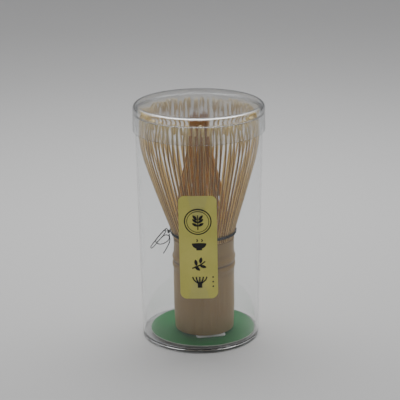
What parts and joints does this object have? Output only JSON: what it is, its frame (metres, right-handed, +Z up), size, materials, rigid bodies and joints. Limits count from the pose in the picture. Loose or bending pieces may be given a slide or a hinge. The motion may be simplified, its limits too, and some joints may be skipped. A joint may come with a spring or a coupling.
{
  "type": "bamboo tea whisk in clear case",
  "caption": "Bamboo matcha tea whisk with a hollow handle and flared split tines, standing in a clear round tub with a pull-off lid.",
  "frame": {"origin": "on the surface that the tub stands on, under the middle of the tub", "axes": "+Z up along the tub's axis, -Y towards the label on the front, +X to the right"},
  "size_m": [0.0622, 0.0622, 0.1144],
  "materials": {
    "clear_plastic": "clear injection-moulded polystyrene, polished",
    "green_card": "uncoated green card",
    "white_foam": "white double-sided foam tape",
    "gold_paper": "semi-matt olive gold paper with black print",
    "bamboo_culm": "dried bamboo skin, smooth and waxy",
    "bamboo_tines": "split and shaved bamboo",
    "black_thread": "twisted black cotton thread"
  },
  "bodies": {
    "case": {"case_tub": "clear_plastic", "base_card": "green_card", "tape_pad": "white_foam", "label": "gold_paper"},
    "whisk": {"bamboo_handle": "bamboo_culm", "outer_tines": "bamboo_tines", "inner_tines": "bamboo_tines", "lacing_band": "black_thread", "lacing_knot": "black_thread", "thread_bow": "black_thread", "thread_tail": "black_thread"},
    "lid": {"case_lid": "clear_plastic"}
  },
  "joints": [
    {"name": "whisk_lift", "type": "slide", "parent": "case", "child": "whisk", "axis": [0, 0, 1], "range_m": [0, 0.115]},
    {"name": "lid_lift", "type": "slide", "parent": "whisk", "child": "lid", "axis": [0, 0, 1], "range_m": [0, 0.04]}
  ]
}
